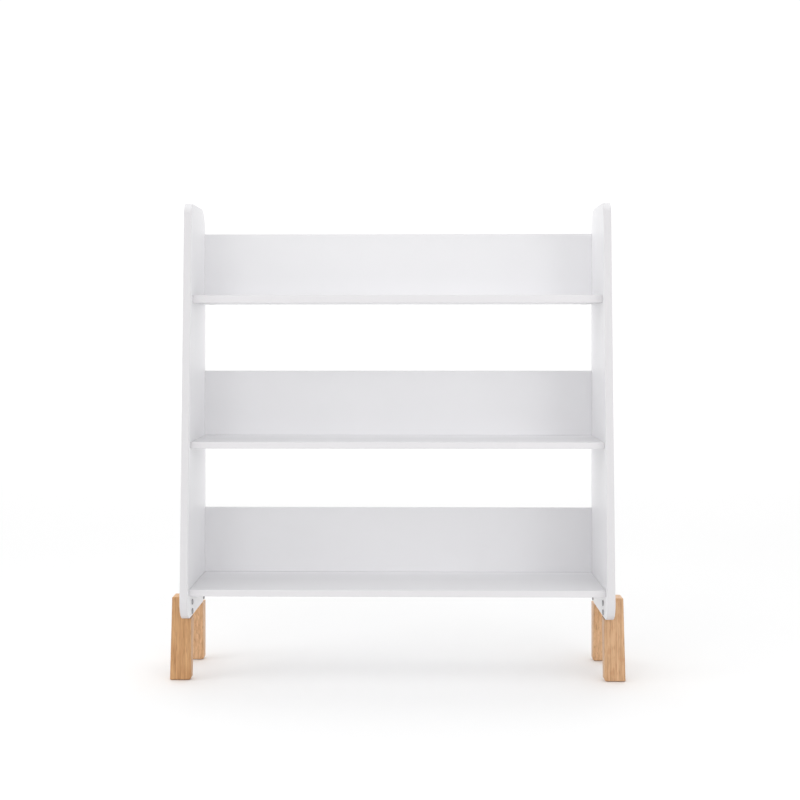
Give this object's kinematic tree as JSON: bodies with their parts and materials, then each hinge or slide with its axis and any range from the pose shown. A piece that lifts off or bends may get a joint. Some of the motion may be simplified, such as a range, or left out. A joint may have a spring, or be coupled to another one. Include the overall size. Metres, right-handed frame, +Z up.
{
  "type": "bookcase",
  "caption": "Open children's bookcase with tapering white side panels, three shelves with low rear boards, and splayed timber legs, for standing picture books and toys.",
  "frame": {"origin": "on the floor, midway between the two sides and midway between the foremost and rearmost points", "axes": "X runs across the front to the right, Y runs from the open front to the rear, Z points up from the floor"},
  "size_m": [1.03, 0.2795, 1.083],
  "materials": {
    "white_lacquer": "satin",
    "leg_timber": "satin",
    "steel_fixings": "satin",
    "zinc_fittings": "satin",
    "white_plastic": "matte",
    "glide_plastic": "matte",
    "beech_dowels": "matte"
  },
  "bodies": {
    "root": {"back_board_bottom": "white_lacquer", "back_board_middle": "white_lacquer", "back_board_top": "white_lacquer", "back_dowels_bottom": "beech_dowels", "back_dowels_middle": "beech_dowels", "back_dowels_top": "beech_dowels", "back_screws_bottom": "steel_fixings", "back_screws_middle": "steel_fixings", "back_screws_top": "steel_fixings", "cam_bolts_bottom": "zinc_fittings", "cam_bolts_middle": "zinc_fittings", "cam_bolts_top": "zinc_fittings", "cam_caps_bottom": "white_plastic", "cam_caps_middle": "white_plastic", "cam_caps_top": "white_plastic", "cam_locks_bottom": "zinc_fittings", "cam_locks_middle": "zinc_fittings", "cam_locks_top": "zinc_fittings", "foot_glide_front_left": "glide_plastic", "foot_glide_front_right": "glide_plastic", "foot_glide_rear_left": "glide_plastic", "foot_glide_rear_right": "glide_plastic", "leg_bolts_front_left": "steel_fixings", "leg_bolts_front_right": "steel_fixings", "leg_bolts_rear_left": "steel_fixings", "leg_bolts_rear_right": "steel_fixings", "leg_front_left": "leg_timber", "leg_front_right": "leg_timber", "leg_inserts_front_left": "zinc_fittings", "leg_inserts_front_right": "zinc_fittings", "leg_inserts_rear_left": "zinc_fittings", "leg_inserts_rear_right": "zinc_fittings", "leg_rear_left": "leg_timber", "leg_rear_right": "leg_timber", "shelf_bottom": "white_lacquer", "shelf_dowels_bottom": "beech_dowels", "shelf_dowels_middle": "beech_dowels", "shelf_dowels_top": "beech_dowels", "shelf_middle": "white_lacquer", "shelf_top": "white_lacquer", "side_panel_left": "white_lacquer", "side_panel_right": "white_lacquer"}
  },
  "joints": []
}
